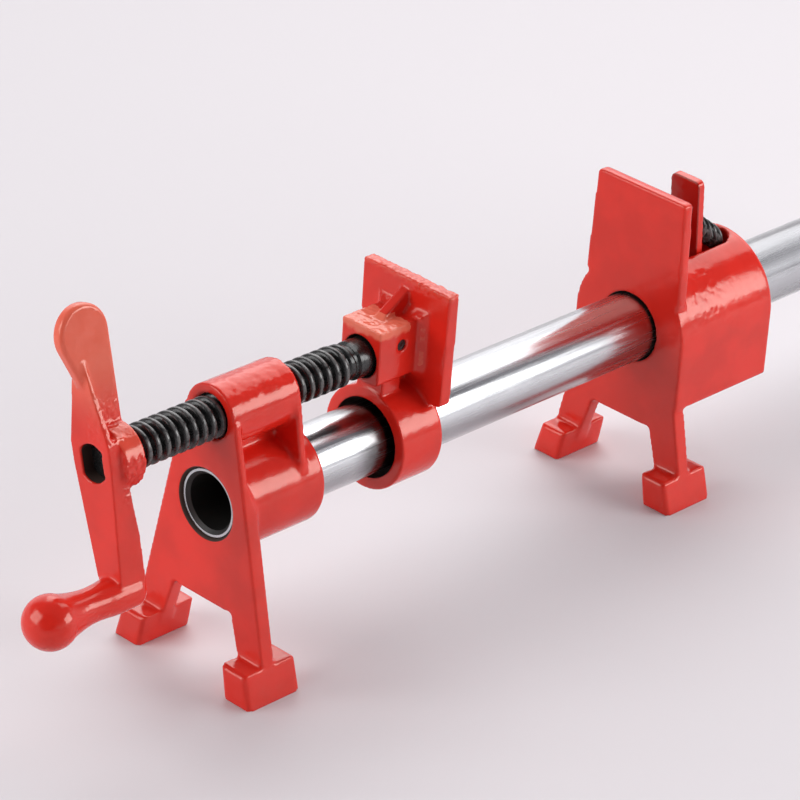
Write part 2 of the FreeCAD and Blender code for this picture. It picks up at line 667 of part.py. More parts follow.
def sliding_jaw(document):
    """Jaw casting: plate, socket block with its gusset, and a collar round the pipe."""
    body = make_body(document, "sliding_jaw", JAW_X, "0", "dim.axis_height")
    collar = SIZES["collar_outer"] / 2
    pad_circle(body, "collar", "dim.collar_outer / 2", "dim.collar_front", "-dim.collar_front")
    chamfer_edges(body, "collar_rim", "dim.collar_bevel", lambda p, e: is_ring(e, collar) and near(p.x, 0))
    sketch = make_sketch(body, "YZ_Plane", "jaw_plate")
    draw_outline(sketch, [
        ("-dim.jaw_bottom_half", "dim.jaw_bottom"), ("dim.jaw_bottom_half", "dim.jaw_bottom"),
        ("dim.jaw_half", "dim.jaw_top"), ("-dim.jaw_half", "dim.jaw_top")])
    pad(body, sketch, "dim.plate_thick", reverse=True)
    foot, foot_half = SIZES["jaw_bottom"], SIZES["jaw_bottom_half"]
    round_edges(body, "jaw_corners", "dim.jaw_corner",
                lambda p, e: near(p.z, foot) and near(abs(p.y), foot_half))

    # socket block, its lower edges rounded, splayed into the plate all round
    add_upright(body, "block", "dim.block_half", "dim.block_bottom", "dim.block_top",
                "dim.block_deep", "0")
    low, half, back = SIZES["block_bottom"], SIZES["block_half"], -SIZES["plate_thick"]
    round_edges(body, "block_rounds", "dim.block_round",
                lambda p, e: near(p.z, low) and near(abs(p.y), half))
    chamfer_edges(body, "block_blends", "dim.block_blend",
                  lambda p, e: near(p.x, back) and abs(p.y) < half + NEAR
                  and low - NEAR < p.z < SIZES["block_top"] + NEAR)

    # the neck that carries the block on the collar, and the thin web behind it
    top = "dim.block_bottom + dim.neck_half"
    add_upright(body, "neck", "dim.neck_half", "dim.collar_bore / 2", top, "dim.neck_front",
                "dim.neck_back")
    add_upright(body, "web", "dim.web_half", "dim.collar_bore / 2", top, "dim.neck_back + dim.web_half",
                "0")
    sketch = make_sketch(body, "XZ_Plane", "gusset")
    plate_back = "-dim.plate_thick"
    draw_outline(sketch, [
        (f"{plate_back} - dim.gusset_run", "dim.block_top"), (plate_back, "dim.block_bottom"),
        (plate_back, "dim.block_top + dim.gusset_rise")])
    pad(body, sketch, "dim.gusset_thick", midplane=True)

    bore(body, "collar_hole", "dim.collar_bore / 2", None, "-dim.collar_front")
    bore(body, "spindle_socket", "dim.spindle_outer / 2 + dim.spindle_fit", "dim.socket_deep",
         "-dim.block_deep", up="dim.spindle_rise")
    sketch = make_sketch(body, "XZ_Plane", "pin_hole")
    draw_circle(sketch, "-dim.pin_setback", "dim.spindle_rise + dim.pin_rise",
                "dim.pin_outer / 2 + dim.pin_fit")
    pocket(body, sketch, midplane=True)
    return body


def add_upright(body, name, half, low, high, front, back):
    """A block between two distances in front of the jaw's rear face."""
    sketch = make_sketch(body, "YZ_Plane", name, f"-({front})")
    draw_outline(sketch, [(f"-{half}", low), (half, low), (half, high), (f"-{half}", high)])
    pad(body, sketch, f"{front} - ({back})")


def jaw_retaining_pin(document):
    """Cross pin that runs in the spindle's groove."""
    body = make_body(document, "jaw_retaining_pin", f"{JAW_X} - dim.pin_setback", "0",
                     f"{SPINDLE_Z} + dim.pin_rise")
    sketch = make_sketch(body, "XZ_Plane", "pin")
    draw_circle(sketch, "0", "0", "dim.pin_outer / 2")
    pad(body, sketch, "2 * (dim.block_half - dim.pin_recess)", midplane=True)
    return body


def tail_jaw(document):
    """Tail casting: jaw plate, A-shaped legs and the clutch housing, open underneath."""
    body = make_body(document, "tail_jaw", TAIL_X, "0", "dim.axis_height")
    a_plate(body, "tail_legs", [(plate_half("dim.tail_bottom"), "dim.tail_bottom")])
    add_feet(body)
    sketch = make_sketch(body, "YZ_Plane", "tail_plate")
    draw_outline(sketch, [
        ("-dim.tail_bottom_half", "dim.tail_bottom"), ("dim.tail_bottom_half", "dim.tail_bottom"),
        ("dim.tail_top_half", "dim.tail_top"), ("-dim.tail_top_half", "dim.tail_top")])
    pad(body, sketch, "dim.tail_plate")

    # housing: a drum above the axis, upright side walls below it
    pad_circle(body, "drum", "dim.housing_outer / 2", "dim.housing_length")
    outer = "dim.housing_outer / 2"
    sketch = make_sketch(body, "YZ_Plane", "skirt")
    draw_outline(sketch, [(f"-{outer}", f"-dim.housing_skirt"), (outer, f"-dim.housing_skirt"),
                          (outer, "0"), (f"-{outer}", "0")])
    pad(body, sketch, "dim.housing_length")
    rim, rear = SIZES["housing_outer"] / 2, SIZES["housing_length"]
    chamfer_edges(body, "housing_rim", "dim.housing_bevel",
                  lambda p, e: near(p.x, rear) and p.z > -SIZES["housing_skirt"] + NEAR)

    # clutch chamber
    inner = "(dim.housing_outer / 2 - dim.housing_wall)"
    chamber = "dim.housing_length - dim.housing_front - dim.housing_rear"
    bore(body, "chamber", inner, chamber, "dim.housing_front")
    sketch = make_sketch(body, "YZ_Plane", "chamber_mouth", "dim.housing_front")
    below = "-(dim.housing_skirt + dim.housing_wall)"
    draw_outline(sketch, [(f"-{inner}", below), (inner, below), (inner, "0"), (f"-{inner}", "0")])
    pocket(body, sketch, chamber, reverse=True)

    # bar across the chamber's mouth that the clutch plates tilt on
    sketch = make_sketch(body, "YZ_Plane", "fulcrum", "dim.housing_front")
    draw_outline(sketch, [(f"-{outer}", "-dim.housing_skirt"), (outer, "-dim.housing_skirt"),
                          (outer, "-dim.fulcrum_drop"), (f"-{outer}", "-dim.fulcrum_drop")])
    pad(body, sketch, "dim.fulcrum_reach - dim.fulcrum_gap - dim.housing_front")

    # slot in the top for the lever and the spring, round at its far end
    centre = "(dim.housing_length - dim.slot_web - dim.slot_half)"
    sketch = make_sketch(body, "XY_Plane", "lever_slot", "dim.slot_floor")
    draw_outline(sketch, [("dim.tail_plate", "-dim.slot_half"), (centre, "-dim.slot_half"),
                          (centre, "dim.slot_half"), ("dim.tail_plate", "dim.slot_half")])
    pocket(body, sketch, "dim.housing_outer", reverse=True)
    sketch = make_sketch(body, "XY_Plane", "slot_end", "dim.slot_floor")
    draw_circle(sketch, centre, "0", "dim.slot_half")
    pocket(body, sketch, "dim.housing_outer", reverse=True)

    bore(body, "tail_bore", "dim.pipe_outer / 2 + dim.tail_fit", None)
    top, half = SIZES["tail_top"], SIZES["tail_top_half"]
    round_edges(body, "plate_corners", "dim.tail_corner",
                lambda p, e: near(p.z, top) and near(abs(p.y), half) and near(p.x, SIZES["tail_plate"] / 2))
    round_feet(body)
    return body


def hole_rise(body_formula="dim.disc_thick"):
    """Height of a clutch plate's hole above its tilting edge."""
    return (f"((dim.fulcrum_drop - {body_formula} / 2 * sin(dim.rest_tilt)) / cos(dim.rest_tilt))")


def clutch_disc(document, label, place):
    """One tilting plate; its own frame has the edge it tilts on as its origin."""
    pivot = f"{TAIL_X} + dim.fulcrum_reach + {place} * (dim.disc_thick + dim.disc_gap)"
    body = make_body(document, label, pivot, "0", "dim.axis_height - dim.fulcrum_drop",
                     tilt="-dim.rest_tilt", tilt_axis=(0, 1, 0))
    pad_circle(body, f"{label}_disc", "dim.disc_outer / 2", "dim.disc_thick", up=hole_rise())
    return body


def pierce_disc(body):
    bore(body, f"{body.Name}_hole", "dim.disc_hole / 2", "dim.disc_thick", up=hole_rise())


def clutch_plates(document):
    """The plain plates of the stack, front to back."""
    for place in range(SIZES["plate_count"]):
        body = clutch_disc(document, f"clutch_plate_{place + 1}", place)
        pierce_disc(body)


def release_lever(document):
    """The last plate of the stack, with the thumb tab that stands up through the slot."""
    body = clutch_disc(document, "release_lever", "dim.plate_count")
    top = "(dim.fulcrum_drop + dim.lever_top) / cos(dim.rest_tilt)"
    sketch = make_sketch(body, "YZ_Plane", "lever_tab")
    draw_outline(sketch, [("-dim.lever_half", hole_rise()), ("dim.lever_half", hole_rise()),
                          ("dim.lever_half", top), ("-dim.lever_half", top)])
    pad(body, sketch, "dim.disc_thick")
    pierce_disc(body)
    high, half = number(body, top), SIZES["lever_half"]
    round_edges(body, "lever_corners", "dim.lever_round",
                lambda p, e: near(p.z, high) and near(abs(p.y), half))
    return body


def spring_wire_section(place, along, radial, sides, radius):
    """A many-sided ring of wire square to the way the wire runs."""
    side = along.cross(radial).normalize()
    up = side.cross(along).normalize()
    corners = []
    for index in range(sides + 1):
        turn = 2 * math.pi * index / sides
        corners.append(place + (up * math.cos(turn) + side * math.sin(turn)) * radius)
    return Part.makePolygon(corners)


def clutch_spring(document):
    """Compression spring between the lever's back and the housing's rear wall.

    Its coils stay upright while their centres drop from the lever to the lower rear seat. The
    end turns lie close together, and the turns between them are evenly spread. The wire starts
    and ends at the top of a coil: its start lies against the lever, and half a turn before its
    end the foot of the last coil lies against the rear wall, below the slot.
    """
    body = document.addObject("Part::Feature", "clutch_spring")
    body.Label = "clutch_spring"
    wire, ends, turns = SIZES["spring_wire"], SIZES["spring_end_turns"], SIZES["spring_turns"]
    mean = (SIZES["spring_outer"] - wire) / 2
    lever = "dim.fulcrum_reach + dim.plate_count * (dim.disc_thick + dim.disc_gap)"
    lean = "dim.disc_thick / cos(dim.rest_tilt)"
    crest = "(dim.spring_rise_front + (dim.spring_outer - dim.spring_wire) / 2)"
    rise = f"(dim.fulcrum_drop + {crest}) * tan(dim.rest_tilt)"
    front = number(body, f"{lever} + {lean} - {rise} + dim.spring_wire / 2 + dim.spring_gap")
    back = number(body, "dim.housing_length - dim.housing_rear - dim.spring_gap")
    slope = (SIZES["spring_rise_back"] - SIZES["spring_rise_front"]) / (back - front)
    close = wire * ends
    spread = (back - front - 2 * close) / (turns - 2 * ends)

    def centre(turn):
        along = wire * min(turn, ends) + wire * max(turn - (turns - ends), 0)
        along += spread * (min(max(turn, ends), turns - ends) - ends)
        angle = 2 * math.pi * turn
        return FreeCAD.Vector(along, mean * math.sin(angle), mean * math.cos(angle) + slope * along)

    steps = round(turns * SIZES["spring_steps"])
    step = turns / steps
    sections = []
    for index in range(steps + 1):
        turn = index * step
        along = centre(min(turn + step / 2, turns)) - centre(max(turn - step / 2, 0))
        radial = centre(turn) - FreeCAD.Vector(centre(turn).x, 0, slope * centre(turn).x)
        sections.append(spring_wire_section(centre(turn), along, radial, SIZES["spring_sides"], wire / 2))
    body.Shape = Part.makeLoft(sections, True, True)
    place = FreeCAD.Vector(number(body, TAIL_X) + front, 0,
                           number(body, "dim.axis_height + dim.spring_rise_front"))
    body.Placement = FreeCAD.Placement(place, FreeCAD.Rotation())
    return body


# ---------------------------------------------------------------------------------------------
# Build, check and export
# ---------------------------------------------------------------------------------------------

PIECES = (head_frame, pipe, spindle, crank_handle, sliding_jaw, jaw_retaining_pin, tail_jaw,
          clutch_plates, release_lever, clutch_spring)


def check(document):
    """Stops the build if any object failed or any piece is not one sound solid."""
    for thing in document.Objects:
        if "Invalid" in thing.State or "Error" in thing.State:
            raise RuntimeError(f"{thing.Label} failed: {thing.State}")
    for piece in exported(document):
        if piece.Shape.isNull() or not piece.Shape.isValid() or not piece.Shape.Solids:
            raise RuntimeError(f"{piece.Label} has no sound solid")


def exported(document):
    return [thing for thing in document.Objects
            if thing.TypeId in ("PartDesign::Body", "Part::Feature")]


def main():
    document = FreeCAD.newDocument("pipe_clamp")
    make_sheet(document)
    for make_piece in PIECES:
        make_piece(document)
    document.recompute()
    check(document)
    os.makedirs("parts", exist_ok=True)
    for piece in exported(document):
        piece.Shape.exportStep(f"parts/{piece.Label}.step")
        print(piece.Label, "volume", round(piece.Shape.Volume), "solids", len(piece.Shape.Solids))


main()
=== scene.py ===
import json
import math

import bpy
import numpy as np
from mathutils import Matrix, Vector

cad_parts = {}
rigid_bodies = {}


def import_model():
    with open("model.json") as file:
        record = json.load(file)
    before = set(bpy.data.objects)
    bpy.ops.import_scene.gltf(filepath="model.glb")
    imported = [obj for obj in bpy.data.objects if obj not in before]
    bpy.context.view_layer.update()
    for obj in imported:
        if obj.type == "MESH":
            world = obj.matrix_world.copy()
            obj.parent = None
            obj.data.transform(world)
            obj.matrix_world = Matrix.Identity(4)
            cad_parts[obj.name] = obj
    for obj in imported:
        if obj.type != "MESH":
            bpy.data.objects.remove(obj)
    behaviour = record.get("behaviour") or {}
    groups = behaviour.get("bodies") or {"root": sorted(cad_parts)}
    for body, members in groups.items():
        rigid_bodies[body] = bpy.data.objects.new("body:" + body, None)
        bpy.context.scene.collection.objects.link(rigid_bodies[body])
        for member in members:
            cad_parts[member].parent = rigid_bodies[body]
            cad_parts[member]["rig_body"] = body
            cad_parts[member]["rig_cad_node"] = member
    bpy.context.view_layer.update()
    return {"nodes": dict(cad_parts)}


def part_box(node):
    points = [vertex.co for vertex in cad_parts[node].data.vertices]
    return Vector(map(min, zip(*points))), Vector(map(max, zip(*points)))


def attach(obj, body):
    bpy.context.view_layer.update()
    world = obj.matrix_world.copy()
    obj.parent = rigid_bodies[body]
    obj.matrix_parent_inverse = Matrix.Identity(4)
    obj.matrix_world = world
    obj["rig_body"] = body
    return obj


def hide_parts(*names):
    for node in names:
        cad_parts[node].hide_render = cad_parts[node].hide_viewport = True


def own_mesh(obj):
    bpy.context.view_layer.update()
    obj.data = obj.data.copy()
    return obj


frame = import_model()

bl_info = {
    "name": "Pipe Clamp",
    "version": (1, 0, 0),
    "blender": (4, 5, 0),
    "location": "View3D > Sidebar > Pipe Clamp",
    "description": "Dresses a woodworking pipe clamp with cast, threaded and sprung pieces",
    "category": "Object",
}

MM = 0.001
MM_PER_INCH = 25.4
WELD = 0.002 * MM

# ---------------------------------------------------------------------------------------------
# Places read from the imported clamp
# ---------------------------------------------------------------------------------------------

SCREW_LOW, SCREW_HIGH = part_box("spindle")
PIPE_LOW, PIPE_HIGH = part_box("pipe")
HEAD_LOW, HEAD_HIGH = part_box("head_frame")
JAW_LOW, JAW_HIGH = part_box("sliding_jaw")
TAIL_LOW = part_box("tail_jaw")[0]
LEVER_LOW, LEVER_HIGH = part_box("release_lever")
SPRING_LOW, SPRING_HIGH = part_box("clutch_spring")
CRANK_LOW, CRANK_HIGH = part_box("crank_handle")
SCREW_AXIS = (SCREW_LOW.z + SCREW_HIGH.z) / 2
PIPE_AXIS = (PIPE_LOW.z + PIPE_HIGH.z) / 2
SCREW_RADIUS = SCREW_HIGH.z - SCREW_AXIS
PIPE_RADIUS = PIPE_HIGH.z - PIPE_AXIS

# The crank leans at rest by an angle in degrees, and its grip lies at the end of its arm
CRANK_LEAN = 14.5
ARM_REACH = 47.2 * MM
ARM_THICK = 11.4 * MM
ARM_FRONT = SCREW_LOW.x - 5 * MM
ARM_BACK = ARM_FRONT + ARM_THICK
SLOT_FRONT = SCREW_LOW.x - 4.2 * MM
GRIP_ACROSS = -ARM_REACH * math.sin(math.radians(CRANK_LEAN))
GRIP_HEIGHT = SCREW_AXIS - ARM_REACH * math.cos(math.radians(CRANK_LEAN))
BALL_RADIUS = 9.85 * MM

# The sliding jaw's socket block and the front of its collar round the pipe
BLOCK_TOP = SCREW_AXIS + 10 * MM
SOCKET_END = JAW_LOW.x + 18.8 * MM
COLLAR_FRONT = JAW_HIGH.x - 21.4 * MM

# The release lever's front slopes back from its top, and that face gets painted shade
LEVER_SHADED_FRONT_TOP = Vector((LEVER_LOW.x, 0, LEVER_HIGH.z))
LEVER_SLOPE = math.tan(math.radians(4.7))

# Painted shade on the pipe at the jaw's collar, whose dark bore shades the pipe and is reflected in it:
# where it starts, is full, fades and ends
COLLAR_SHADE_START = COLLAR_FRONT - 20 * MM
COLLAR_SHADE_FULL = COLLAR_FRONT - 5 * MM
COLLAR_SHADE_FADE = COLLAR_FRONT + 2 * MM
COLLAR_SHADE_END = JAW_HIGH.x + 8 * MM

# Bored holes, painted dark, partly bare iron and partly painted shade: axis height, radius, start and end
# along the clamp
SCREW_HOLE = SCREW_RADIUS + 0.3 * MM
PIPE_HOLE = PIPE_RADIUS + 0.45 * MM
TAIL_HOLE = PIPE_HOLE + 0.3 * MM
COLLAR_HOLE = 15.4 * MM
BORES = {
    "head_frame": (
        (PIPE_AXIS, PIPE_HOLE, HEAD_LOW.x, PIPE_HIGH.x),
        (SCREW_AXIS, SCREW_HOLE, HEAD_LOW.x, PIPE_HIGH.x)),
    "sliding_jaw": (
        (PIPE_AXIS, COLLAR_HOLE, HEAD_LOW.x, PIPE_HIGH.x),
        (SCREW_AXIS, SCREW_HOLE, HEAD_LOW.x, SOCKET_END)),
    "crank_handle": ((SCREW_AXIS, SCREW_HOLE, SLOT_FRONT, SCREW_HIGH.x),),
    "tail_jaw": ((PIPE_AXIS, TAIL_HOLE, TAIL_LOW.x, PIPE_HIGH.x),),
}

# Where the castings are lumpy from the sand: low corner, high corner, lump size, height.
# On the crank the hub's side and the blade's foot, on the jaw its top edge and the block's top,
# on the head the screw's tube, and on the tail the drum's top
SAND_LUMPS = {
    "crank_handle": (
        ((CRANK_HIGH.x - 10.5 * MM, CRANK_LOW.y, SCREW_AXIS - 14 * MM),
         (CRANK_HIGH.x + 3 * MM, -3 * MM, SCREW_AXIS + 5 * MM), 1.6 * MM, 1.1 * MM),
        ((CRANK_LOW.x, CRANK_LOW.y, SCREW_AXIS + 8 * MM),
         (CRANK_HIGH.x, 4 * MM, SCREW_AXIS + 34 * MM), 1.8 * MM, 0.5 * MM)),
    "sliding_jaw": (
        ((JAW_LOW.x, JAW_LOW.y - 4 * MM, JAW_HIGH.z - 3 * MM),
         (JAW_HIGH.x + 4 * MM, JAW_HIGH.y + 4 * MM, JAW_HIGH.z + 4 * MM), 2.2 * MM, 1.0 * MM),
        ((JAW_LOW.x - 3 * MM, JAW_LOW.y, BLOCK_TOP - 1 * MM),
         (JAW_HIGH.x - 5 * MM, JAW_HIGH.y, BLOCK_TOP + 5 * MM), 2.2 * MM, 0.6 * MM)),
    "head_frame": (
        ((HEAD_LOW.x + 5 * MM, HEAD_LOW.y, SCREW_AXIS + 6 * MM),
         (HEAD_HIGH.x, HEAD_HIGH.y, HEAD_HIGH.z + 4 * MM), 3.2 * MM, 0.35 * MM),),
    "tail_jaw": (
        ((TAIL_LOW.x + 12 * MM, TAIL_LOW.y - 4 * MM, PIPE_AXIS + 4 * MM),
         (TAIL_LOW.x + 38 * MM, -6 * MM, PIPE_AXIS + 36 * MM), 2.2 * MM, 0.3 * MM),),
}

# Where the enamel is painted lighter, rubbed thin by hands and work and with painted sheen on the top
# faces: low corner, high corner, fade, share.
# On the crank the thumb blade and the hub's top, and on the jaw its top edge and the block's top
RUBBED_AND_SHEEN = {
    "crank_handle": (
        ((CRANK_LOW.x, CRANK_LOW.y, SCREW_AXIS + 8 * MM),
         (CRANK_HIGH.x, CRANK_HIGH.y, CRANK_HIGH.z), 28 * MM, 0.6),
        ((CRANK_HIGH.x - 9 * MM, CRANK_LOW.y, SCREW_AXIS + 4 * MM),
         (CRANK_HIGH.x, CRANK_HIGH.y, SCREW_AXIS + 12 * MM), 3 * MM, 0.3)),
    "sliding_jaw": (
        ((JAW_LOW.x, JAW_LOW.y - 4 * MM, JAW_HIGH.z - 2.2 * MM),
         (JAW_HIGH.x + 4 * MM, JAW_HIGH.y + 4 * MM, JAW_HIGH.z + 4 * MM), 1.5 * MM, 0.15),
        ((JAW_LOW.x - 3 * MM, JAW_LOW.y, BLOCK_TOP - 1.2 * MM),
         (JAW_LOW.x + 15 * MM, JAW_HIGH.y, BLOCK_TOP + 4 * MM), 1.5 * MM, 0.75)),
}

# ---------------------------------------------------------------------------------------------
# Forms of the pieces
# ---------------------------------------------------------------------------------------------

# Each casting: node, body, share of the cast edge size, share of the fillet rounds
CASTINGS = (
    ("head_frame", "frame", 1.0, 1.0),
    ("sliding_jaw", "jaw", 0.75, 0.25),
    ("crank_handle", "screw", 0.7, 1.0),
    ("tail_jaw", "tail", 1.2, 0.5),
    ("release_lever", "lever", 0.6, 0.5),
)
WORN_ROUNDS = 6
LUMP_FADE = 2 * MM

# An inside corner is sharper than this bend for each metre, and its fillet spreads by rings
CREASE_BEND = 0.45 / MM
CREASE_RINGS = 3
RING_FADE = 0.8

# The grip's neck, the boss through the arm's end, and the boss's rounded edge
GRIP_NECK = 6.2 * MM
GRIP_BOSS = 6.7 * MM
BOSS_EDGE = 3.0 * MM
BOSS_CORNERS = 6

# How the grip flares: millimetres from the ball's middle and millimetres above its neck
GRIP_FLARE = (
    (4.5, 2.5), (6.5, 1.85), (8.5, 1.3), (10.5, 0.85), (12.7, 0.45), (15.0, 0.15),
    (17.5, 0.0), (20.0, 0.05), (22.5, 0.2), (25.0, 0.45), (27.5, 0.6))

# A thread's rounded profile: shares of its pitch and of its height
THREAD_PROFILE = (
    (0.06, -0.2), (0.11, 0.0), (0.2, 0.5), (0.27, 0.84), (0.36, 1.0), (0.5, 1.02),
    (0.64, 1.0), (0.73, 0.84), (0.8, 0.5), (0.89, 0.0), (0.94, -0.2))
THREAD_TOP = 1.02

# Threads for each inch
SCREW_THREADS = 6
PIPE_THREADS = 14

# Steps in one turn of a turned piece, of the pipe and of the spring, and corners of its wire
ROUND_STEPS = 72
PIPE_STEPS = 96
SPRING_STEPS = 48
WIRE_CORNERS = 12
SMOOTH_ANGLE = math.radians(40)


# ---------------------------------------------------------------------------------------------
# Settings
# ---------------------------------------------------------------------------------------------

class ClampSizes(bpy.types.PropertyGroup):
    """Sizes that shape the dressed pieces."""
    fillet_rounds: bpy.props.IntProperty(
        name="Fillet rounds", description="How far fillets run out from the castings' inside corners",
        default=30)
    screw_pitch: bpy.props.FloatProperty(
        name="Screw pitch", description="Advance of the clamp screw for each turn",
        default=MM_PER_INCH / SCREW_THREADS * MM, unit="LENGTH")
    screw_depth: bpy.props.FloatProperty(
        name="Thread depth", description="Height of the screw's thread from root to crest",
        default=1.7 * MM, unit="LENGTH")
    neck_length: bpy.props.FloatProperty(
        name="Neck length", description="Plain end of the screw that turns in the sliding jaw",
        default=24.3 * MM, unit="LENGTH")
    neck_radius: bpy.props.FloatProperty(
        name="Neck radius", description="Radius of the screw's plain end", default=7.2 * MM,
        unit="LENGTH")
    pipe_pitch: bpy.props.FloatProperty(
        name="Pipe thread pitch", description="Advance of the pipe's taper thread for each turn",
        default=MM_PER_INCH / PIPE_THREADS * MM, unit="LENGTH")
    pipe_wall: bpy.props.FloatProperty(
        name="Pipe wall", description="Thickness of the pipe's wall", default=2.87 * MM, unit="LENGTH")
    pipe_ream: bpy.props.FloatProperty(
        name="Pipe ream", description="How far the pipe's ends are opened out by the reamer",
        default=1.3 * MM, unit="LENGTH")
    spring_wire: bpy.props.FloatProperty(
        name="Spring wire", description="Thickness of the clutch spring's wire",
        default=1.7 * MM, unit="LENGTH")
    spring_turns: bpy.props.FloatProperty(
        name="Spring turns", description="Turns in the clutch spring", default=5.0)
    spring_drop: bpy.props.FloatProperty(
        name="Spring drop", description="Fall of the spring's line from the lever to its rear seat",
        default=12.0 * MM, unit="LENGTH")
    edge_voxel: bpy.props.FloatProperty(
        name="Cast edge size", description="Finest detail kept on the castings' worn edges",
        default=0.6 * MM, unit="LENGTH")


class ClampColours(bpy.types.PropertyGroup):
    """Colours of the clamp's finishes."""
    enamel: bpy.props.FloatVectorProperty(
        name="Enamel", description="Red enamel on the castings", subtype="COLOR", size=3,
        default=(0.73, 0.022, 0.012))
    # Also the colour of the painted sheen on the castings' top faces
    thin_enamel_and_sheen: bpy.props.FloatVectorProperty(
        name="Thin enamel", description="Enamel worn thin on the castings' edges", subtype="COLOR",
        size=3, default=(0.84, 0.20, 0.12))
    zinc: bpy.props.FloatVectorProperty(
        name="Zinc", description="Bright plating on the pipe", subtype="COLOR", size=3,
        default=(0.62, 0.63, 0.65))
    oxide: bpy.props.FloatVectorProperty(
        name="Black oxide", description="Black finish of the screw and the spring",
        subtype="COLOR", size=3, default=(0.009, 0.009, 0.009))
    steel: bpy.props.FloatVectorProperty(
        name="Plain steel", description="Bare steel of the clutch plates", subtype="COLOR", size=3,
        default=(0.36, 0.35, 0.34))
    floor: bpy.props.FloatVectorProperty(
        name="Floor", description="Pale floor under the clamp", subtype="COLOR", size=3,
        default=(0.70, 0.67, 0.69))


def sizes():
    """The sizes as they are set in the scene."""
    return bpy.context.scene.clamp_sizes


def colours():
    """The colours as they are set in the scene."""
    return bpy.context.scene.clamp_colours


# ---------------------------------------------------------------------------------------------
# Shader expressions
# ---------------------------------------------------------------------------------------------

class Wire:
    """A shader socket that Python's arithmetic works on."""

    def __init__(self, shader, socket):
        self.shader = shader
        self.socket = socket

    def maths(self, operation, *values):
        return self.shader.node("ShaderNodeMath", {"operation": operation}, dict(enumerate(values)))

    def __add__(self, other):
        return self.maths("ADD", self, other)

    def __radd__(self, other):
        return self.maths("ADD", other, self)

    def __sub__(self, other):
        return self.maths("SUBTRACT", self, other)

    def __rsub__(self, other):
        return self.maths("SUBTRACT", other, self)

    def __mul__(self, other):
        return self.maths("MULTIPLY", self, other)

    def __rmul__(self, other):
        return self.maths("MULTIPLY", other, self)

    def __pow__(self, other):
        return self.maths("POWER", self, other)

    def __gt__(self, other):
        return self.maths("GREATER_THAN", self, other)

    def __lt__(self, other):
        return self.maths("LESS_THAN", self, other)


class Nodes:
    """A node tree under construction."""

    def __init__(self, tree):
        self.tree = tree

    def node(self, kind, settings=None, inputs=None, output=0):
        """Adds a node with its settings and its sockets' values or links."""
        made = self.tree.nodes.new(kind)
        for setting, value in (settings or {}).items():
            setattr(made, setting, value)
        for key, value in (inputs or {}).items():
            if isinstance(value, Wire):
                self.tree.links.new(value.socket, made.inputs[key])
            else:
                made.inputs[key].default_value = value
        return Wire(self, made.outputs[output])

    def place(self, output="Object"):
        """The point on the piece, in metres, or the way the world is looked at."""
        return self.node("ShaderNodeTexCoord", output=output)

    def stretched(self, scale):
        """The point on the piece, scaled by its own factor along each axis."""
        return self.node("ShaderNodeMapping", {}, {"Vector": self.place(), "Scale": scale})

    def grain(self, size, detail=3, rough=0.5, where=None):
        """Soft noise whose lumps are about the given size in metres."""
        return self.node("ShaderNodeTexNoise", {}, {
            "Vector": where or self.place(), "Scale": 1 / size, "Detail": detail,
            "Roughness": rough})

    def level(self, value, low, high, out_low=0.0, out_high=1.0):
        """Value spread from one span to another, held at the ends."""
        return self.node("ShaderNodeMapRange", {"interpolation_type": "SMOOTHSTEP"}, {
            "Value": value, "From Min": low, "From Max": high, "To Min": out_low, "To Max": out_high})

    def blend(self, share, first, second):
        """A colour between two colours."""
        colour = [(*c, 1) if isinstance(c, (tuple, list)) and len(c) == 3 else c for c in (first, second)]
        return self.node("ShaderNodeMix", {"data_type": "RGBA"}, {0: share, 6: colour[0], 7: colour[1]},
                         output=2)

    def axes(self, output="Object"):
        """The three coordinates of the point, each as a number."""
        split = self.node("ShaderNodeSeparateXYZ", {}, {"Vector": self.place(output)})
        outputs = split.socket.node.outputs
        return [Wire(self, output) for output in outputs]

    def bump(self, height, strength, distance):
        """A surface direction from heights of up to a distance in metres."""
        return self.node("ShaderNodeBump", {}, {"Height": height, "Strength": strength,
                                                "Distance": distance})


class Shader(Nodes):
    """A material under construction, with one Principled surface."""

    def __init__(self, name, **constants):
        self.material = bpy.data.materials.new(name)
        self.material.use_nodes = True
        super().__init__(self.material.node_tree)
        self.surface = self.tree.nodes["Principled BSDF"]
        for socket, value in constants.items():
            target = self.surface.inputs[socket.replace("_", " ")]
            target.default_value = (*value, 1) if isinstance(value, (tuple, list)) else value

    def feed(self, **links):
        """Links what varies over the surface to its sockets, and gives the finished material."""
        for socket, wire in links.items():
            self.tree.links.new(wire.socket, self.surface.inputs[socket.replace("_", " ")])
        return self.material

    def reach(self, height):
        """How far the point lies from an axis that runs along the clamp at a height."""
        _, across, up = self.axes()
        return (across * across + (up - height) * (up - height)) ** 0.5

    def within(self, height, radius, start, end):
        """A mask of a bore along the clamp: its axis height, its radius and its two ends."""
        along, _, _ = self.axes()
        return (self.reach(height) < radius) * (along > start) * (along < end)

    def inside(self, low, high, fade):
        """A mask of a box between two corners, with ragged ends and a floor that fades in upwards."""
        along, across, up = self.axes()
        stray = (self.grain(3.5 * MM, detail=4) - 0.5) * (4 * MM)
        floor = self.level(up + stray, low[2], low[2] + fade)
        return (floor * (up < high[2]) * (along + stray > low[0]) * (along + stray < high[0])
                * (across > low[1]) * (across < high[1]))

    def raised(self):
        """How far the point stands out on an outside edge."""
        return self.node("ShaderNodeNewGeometry", output="Pointiness")


# ---------------------------------------------------------------------------------------------
# Finishes
# ---------------------------------------------------------------------------------------------

# The span that noise mostly keeps to
NOISE = (0.3, 0.7)

# The darker patches of a finish, and the painted shade on the lever's front, as shares of its colour
PATCH_SHADE = 0.86
LEVER_PAINTED_SHADE = 0.42
STAIN_SHADE = 0.6
# How deep the lever's front face is painted with shade
LEVER_SHADED_SKIN = 0.8 * MM

